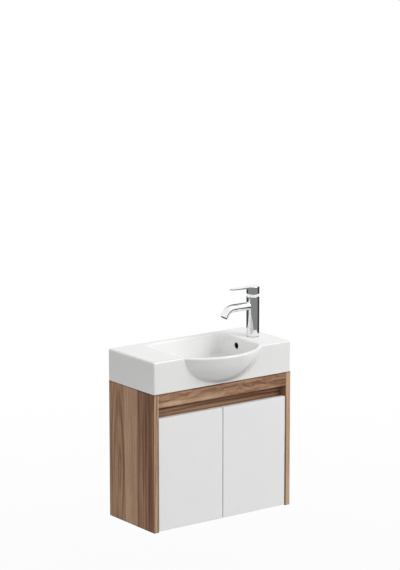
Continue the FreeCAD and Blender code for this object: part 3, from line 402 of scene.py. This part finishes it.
# %% [markdown]
# The doors are lacquered board. A plain white would look like paper. Sprayed lacquer is never
# perfectly flat: it has a fine, soft texture, and its sheen changes a little from place to
# place, so two scales of noise move its tone, its gloss and its relief.

# %% White lacquer
SPRAY_WAVES, PEEL_WAVES = 14.0, 420.0
LACQUER_GLOSS = (0.36, 0.46)


def white_lacquer():
    material, place = new_finish("white_lacquer", IOR=1.47)
    spray = place.even_noise(SPRAY_WAVES, 2.0)
    peel = place.even_noise(PEEL_WAVES, 2.0)
    return feed(
        material,
        Base_Color=spray.mix(tint(237, 237, 237), tint(240, 240, 240)),
        Roughness=spray.between(*LACQUER_GLOSS),
        Normal=bump(peel, relief=0.00003, strength=0.5),
    )


lacquer = white_lacquer()
print("finish:", lacquer.name)

# %% [markdown]
# The basin is fired clay under a glossy glaze. The glaze pools a little, so its surface waves
# gently and reflections bend. Deep in the overflow, painted shade darkens the clay, because no
# light reaches the channel behind it. A second material on those faces would end in a jagged
# line, so the painted shade is placed by its distance from the hole's axis.

# %% White glaze
POOL_WAVES, SPECK_WAVES = 22.0, 260.0
GLAZE_GLOSS = (0.10, 0.16)
OVERFLOW_CENTRE_Y, OVERFLOW_CENTRE_Z = -0.105, 0.485
OVERFLOW_RIM = (0.0108, 0.01047)
OVERFLOW_MOUTH = (0.1425, 0.14472)
OVERFLOW_END = (0.2000, 0.19778)
OVERFLOW_SHADE = tint(14, 14, 14)


def white_glaze():
    material, place = new_finish("white_glaze", IOR=1.52)
    pool = place.even_noise(POOL_WAVES, 2.0, 0.4)
    speck = place.even_noise(SPECK_WAVES, 2.0)
    y = place.along(Y_AXIS) - OVERFLOW_CENTRE_Y
    z = place.along(Z_AXIS) - OVERFLOW_CENTRE_Z
    in_hole = (y * y + z * z).root().fade(*OVERFLOW_RIM)
    x = place.along(X_AXIS)
    # Painted shade deep in the overflow's channel, where little light reaches.
    hole_shade = in_hole * x.fade(*OVERFLOW_MOUTH) * x.fade(*OVERFLOW_END)
    white = pool.mix(tint(237, 237, 236), tint(241, 241, 240))
    return feed(
        material,
        Base_Color=hole_shade.mix(white, OVERFLOW_SHADE),
        Roughness=speck.between(*GLAZE_GLOSS),
        Normal=bump(pool, relief=0.0006, strength=0.25),
    )


glaze = white_glaze()
print("finish:", glaze.name)

# %% [markdown]
# Chrome has hardly any colour of its own. What it shows is the studio round it, so its
# roughness is low, with faint smears where hands touch it. The hinges and hangers are plated
# steel and the tap's hidden stud is brass, both duller and drawn out along one direction. Each
# could have nodes of its own, but one function makes them all: a noise moves tone, gloss and
# relief together, because a smear changes all three.

# %% Metals
def drifting(name, dark, light, gloss, waves, relief, strength, **fixed):
    """A finish whose tone, gloss and relief drift, in so many waves per metre along X, Y, Z."""
    material, place = new_finish(name, **fixed)
    drift = place.noise(waves, 3.0)
    return feed(
        material,
        Base_Color=drift.mix(dark, light),
        Roughness=drift.between(*gloss),
        Normal=bump(drift, relief, strength),
    )


def metal(name, dark, light, gloss, waves, relief):
    return drifting(name, dark, light, gloss, waves, relief, strength=0.3, Metallic=1.0)


chrome = metal(
    "chrome",
    tint(236, 237, 239),
    tint(243, 244, 245),
    gloss=(0.03, 0.08),
    waves=(40, 40, 40),
    relief=0.00001,
)
plated_steel = metal(
    "plated_steel",
    tint(168, 168, 168),
    tint(196, 196, 197),
    gloss=(0.22, 0.42),
    waves=(90, 90, 900),
    relief=0.00002,
)
brass = metal(
    "brass",
    tint(186, 150, 88),
    tint(212, 178, 110),
    gloss=(0.20, 0.38),
    waves=(200, 200, 1200),
    relief=0.00002,
)
print("metals:", chrome.name, plated_steel.name, brass.name)

# %% [markdown]
# Trap, cartridge and rose are moulded plastic; seals and door bumpers are rubber. Moulded
# plastic has a faint skin texture, and rubber scatters light with no clear highlight. They
# could be plain colours, as they are seldom seen, but would look unfinished behind an open
# door. The drifting finish of the metals does for them too, with one scale on every axis.

# %% Plastics and rubbers
def moulded(name, dark, light, gloss, grain, relief):
    waves = (grain, grain, grain)
    return drifting(name, dark, light, gloss, waves, relief, strength=0.5, IOR=1.46)


white_plastic = moulded(
    "white_plastic",
    tint(228, 228, 226),
    tint(236, 236, 234),
    gloss=(0.24, 0.36),
    grain=160.0,
    relief=0.00004,
)
black_rubber = moulded(
    "black_rubber",
    tint(24, 24, 24),
    tint(40, 40, 40),
    gloss=(0.62, 0.85),
    grain=900.0,
    relief=0.00008,
)
clear_rubber = moulded(
    "clear_rubber",
    tint(205, 205, 200),
    tint(222, 222, 217),
    gloss=(0.30, 0.45),
    grain=500.0,
    relief=0.00004,
)
grey_plastic = moulded(
    "grey_plastic",
    tint(52, 52, 53),
    tint(66, 66, 67),
    gloss=(0.35, 0.50),
    grain=400.0,
    relief=0.00004,
)
print("moulded:", white_plastic.name, black_rubber.name, clear_rubber.name, grey_plastic.name)

# %% [markdown]
# Each node takes the finish of its slot in the record, which names what the piece is made of.
# That is safer than a list of pieces, because none can be forgotten. The boards are the
# exception: their grain runs upright on the sides and level on the rails, so each board names
# its own.

# %% Finishes on the pieces
SLOT_FINISH = {
    "walnut_edging": walnut_edging,
    "white_lacquer": lacquer,
    "white_glaze": glaze,
    "chrome": chrome,
    "brass": brass,
    "plated_steel": plated_steel,
    "white_plastic": white_plastic,
    "grey_plastic": grey_plastic,
    "black_rubber": black_rubber,
    "clear_rubber": clear_rubber,
}
BOARD_FINISH = {
    "left_side_panel": walnut_upright,
    "right_side_panel": walnut_upright,
    "front_rail": walnut_level,
    "finger_board": walnut_recess,
    "upper_back_rail": walnut_level,
    "lower_back_rail": walnut_level,
    "bottom_panel": walnut_inner,
}
for entry in frame["record"]["subparts"]:
    mesh = nodes[entry["node"]].data
    mesh.materials.clear()
    mesh.materials.append(BOARD_FINISH.get(entry["node"]) or SLOT_FINISH[entry["material_slot"]])

# %% [markdown]
# No real edge is a knife edge. A small bevel on the boards catches the light along every
# corner, which the eye reads as a solid thing. The edges could be cut in the mesh, but the
# meshes of the frame stay as they are: a weld joins their split corners and a bevel modifier
# rounds them.

# %% Softened edges
WELD_DISTANCE = 1e-6
BOARD_BEVEL = 0.0004
BEVEL_SEGMENTS = 2
BEVEL_ANGLE = math.radians(50)


def welded(name):
    """A node whose split corners are joined by a modifier."""
    piece = nodes[name]
    weld = piece.modifiers.new("weld", "WELD")
    weld.merge_threshold = WELD_DISTANCE
    return piece


def soften(name):
    round_off = welded(name).modifiers.new("soft_edges", "BEVEL")
    round_off.width = BOARD_BEVEL
    round_off.segments = BEVEL_SEGMENTS
    round_off.limit_method = "ANGLE"
    round_off.angle_limit = BEVEL_ANGLE
    round_off.use_clamp_overlap = True
    round_off.harden_normals = True


for board in BOARD_FINISH:
    soften(board)
print("softened boards:", len(BOARD_FINISH))

# %% [markdown]
# A curved face is shown by flat triangles, and its gloss is only as smooth as the directions
# stored at their corners. On the cast basin and the chrome, long thin triangles spoil these
# directions. More triangles would hide it, at a price. Here the faces are welded, split again
# where they meet at a real corner, and each corner then takes its direction from the larger
# faces round it.

# %% Even gloss on curved pieces
CURVED_PIECES = ["basin", "tap_body", "tap_spout", "tap_collar", "tap_lever", "waste_plug"]
REAL_CORNER = math.radians(38)
AREA_WEIGHT = 50


def even_gloss(name):
    piece = welded(name)
    split = piece.modifiers.new("real_corners", "EDGE_SPLIT")
    split.split_angle = REAL_CORNER
    split.use_edge_sharp = False
    even = piece.modifiers.new("even_gloss", "WEIGHTED_NORMAL")
    even.mode = "FACE_AREA"
    even.weight = AREA_WEIGHT
    even.keep_sharp = False


for curved in CURVED_PIECES:
    even_gloss(curved)
print("evened pieces:", len(CURVED_PIECES))

# %% [markdown]
# The unit hangs in a white studio, with a floor well below it. A white floor could be had with
# more light, but then the object would be too bright. So the floor is a pale grey paint to the
# light, and almost white to the camera and in reflections, which a Light Path node can tell
# apart. The share of paint that is left keeps the object's shadow.

# %% Helpers for the studio
def stage_sheet(name, points, faces):
    """A sheet of the studio, which isn't part of the object."""
    mesh = bpy.data.meshes.new(name)
    mesh.from_pydata(points, [], faces)
    sheet = bpy.data.objects.new(name, mesh)
    scene.collection.objects.link(sheet)
    return sheet


def seen_as_backdrop(tree):
    """1 for rays from the camera, and for those off a polished face or through glass."""
    rays = Wire(tree).node("LightPath", {}, {})
    outputs = rays.socket.node.outputs
    camera_ray = Wire(tree, outputs["Is Camera Ray"])
    glossy_ray = Wire(tree, outputs["Is Glossy Ray"])
    glass_ray = Wire(tree, outputs["Is Transmission Ray"])
    return rays.math("MAXIMUM", rays.math("MAXIMUM", camera_ray, glossy_ray), glass_ray)


# %% Floor
FLOOR_HEIGHT = -0.35
FLOOR_HALF = 60.0
FLOOR_CORNERS = [(-1, -1), (1, -1), (1, 1), (-1, 1)]
MOTTLE_WAVES = 3.0
WHITE = (1, 1, 1, 1)
WHITE_SHARE = 0.95
ALL_WHITE_FROM = 2.857


def pale_floor():
    material, place = new_finish("pale_floor", Roughness=0.9)
    mottle = place.even_noise(MOTTLE_WAVES, 2.0)
    feed(material, Base_Color=mottle.mix(tint(146, 146, 146), tint(154, 154, 154)))
    tree = material.node_tree
    paint = Wire(tree, tree.nodes["Principled BSDF"].outputs[0])
    white = place.node("Emission", {}, {"Color": WHITE, "Strength": 1.0})
    x, y = place.along(X_AXIS), place.along(Y_AXIS)
    far = (x * x + y * y).root().fade(0.0, ALL_WHITE_FROM)
    share = seen_as_backdrop(tree) * far.between(WHITE_SHARE, 1.0)
    blend = place.node("MixShader", {}, {0: share, 1: paint, 2: white})
    tree.links.new(blend.socket, tree.nodes["Material Output"].inputs["Surface"])
    return material


corners = [(x * FLOOR_HALF, y * FLOOR_HALF, FLOOR_HEIGHT) for x, y in FLOOR_CORNERS]
floor = stage_sheet("floor", corners, [(0, 1, 2, 3)])
floor.data.materials.append(pale_floor())
print("floor at", FLOOR_HEIGHT)

# %% [markdown]
# The light comes from the right: a broad soft box high in front, a weaker one below it, and a
# third low on the left, which lifts the side panel. One strong lamp would give hard shadows
# that the picture doesn't have. Only the high box shows in reflections, because the other two
# would draw bright squares on the chrome.

# %% Lights
AIM = Vector((0.0, -0.13, 0.30))
# Each soft box: name, place, width, height, power, and whether reflections show it.
SOFT_BOXES = [
    ("key_light", (2.3, -3.6, 4.6), 2.6, 2.6, 110.0, True),
    ("front_fill", (2.0, -3.9, 2.1), 3.0, 1.4, 54.0, False),
    ("left_fill", (-4.6, -0.9, 0.8), 3.0, 1.4, 26.0, False),
]


def soft_box(name, place, width, height, power, in_reflections):
    data = bpy.data.lights.new(name, "AREA")
    data.shape = "RECTANGLE"
    data.size = width
    data.size_y = height
    data.energy = power
    lamp = aimed(name, data, place, AIM - Vector(place))
    lamp.visible_glossy = in_reflections


for numbers in SOFT_BOXES:
    soft_box(*numbers)
print("lights:", len(SOFT_BOXES))

# %% [markdown]
# Round the studio hangs a white backdrop. A sheet could stand there, but it would shade the
# lamps, so the world itself is white. The camera and reflections show it at full strength. As
# a light it is weaker, so that pale surfaces keep their shading.

# %% Backdrop
AMBIENT = 0.66
world = bpy.data.worlds.new("studio")
world.use_nodes = True
scene.world = world
sky = world.node_tree
seen = seen_as_backdrop(sky)
light = seen.node("Background", {}, {"Color": WHITE, "Strength": AMBIENT})
shown = seen.node("Background", {}, {"Color": WHITE, "Strength": 1.0})
both = seen.node("MixShader", {}, {0: seen, 1: light, 2: shown})
sky.links.new(both.socket, sky.nodes["World Output"].inputs["Surface"])
print("backdrop gives", AMBIENT, "of its white as light")

# %% [markdown]
# Chrome in an all-white room has no shape: white on white. Photographers lay and stand cards
# round it. Here a dark and a grey one lie on the floor in front, a low dark one stands behind,
# another stands higher up, and a small flag stands behind the spout. The metal shows them as
# grey sides and dark edges. Only reflections see them, and they leave free the low angle at
# which the basin's ledge reflects the backdrop.

# %% Cards for the chrome
CARD_STEPS = 24
CARD_WAVES = 1.5
CARD_MOTTLE = 0.15
BLACK = (0, 0, 0, 1)
ON_FLOOR = FLOOR_HEIGHT + 0.005
# Each card: name, the angles round the object where it starts and ends, in degrees from +X
# towards +Y, its two edges, and its grey. An edge is a distance from the object and a height.
CARDS = [
    ("near_card", 135, 325, (1.2, ON_FLOOR), (3.8, ON_FLOOR), 0.05),
    ("far_card", 135, 325, (3.8, ON_FLOOR), (6.5, ON_FLOOR), 0.25),
    ("back_card", 325, 495, (3.0, FLOOR_HEIGHT), (3.0, 0.50), 0.05),
    ("high_card", -12, 84, (3.0, 1.55), (3.0, 4.90), 0.10),
    ("spout_flag", 7, 30, (0.3, 0.63), (0.3, 0.69), 0.04),
]


def card_shade(name, grey):
    plain = {"Base_Color": BLACK, "Specular_IOR_Level": 0.0, "Emission_Strength": 1.0}
    material, place = new_finish(name, **plain)
    drift = place.even_noise(CARD_WAVES, 2.0)
    low, high = grey * (1 - CARD_MOTTLE), grey * (1 + CARD_MOTTLE)
    return feed(material, Emission_Color=drift.mix((low, low, low, 1), (high, high, high, 1)))


def card(name, start, end, first_edge, second_edge, grey):
    """A card bent round the object, which only reflections see."""
    points, faces = [], []
    for k in range(CARD_STEPS + 1):
        angle = math.radians(start + (end - start) * k / CARD_STEPS)
        for radius, height in (first_edge, second_edge):
            points.append((radius * math.cos(angle), radius * math.sin(angle), height))
    for k in range(CARD_STEPS):
        faces.append((2 * k, 2 * k + 2, 2 * k + 3, 2 * k + 1))
    sheet = stage_sheet(name, points, faces)
    sheet.visible_camera = False
    sheet.visible_diffuse = False
    sheet.visible_shadow = False
    sheet.data.materials.append(card_shade(name + "_shade", grey))


for numbers in CARDS:
    card(*numbers)
print("cards:", len(CARDS))

# %% [markdown]
# Nothing here scales the model, so it keeps the size of the imported one. Last, the view
# layer is brought up to date.

# %% Bring the view layer up to date
bpy.context.view_layer.update()
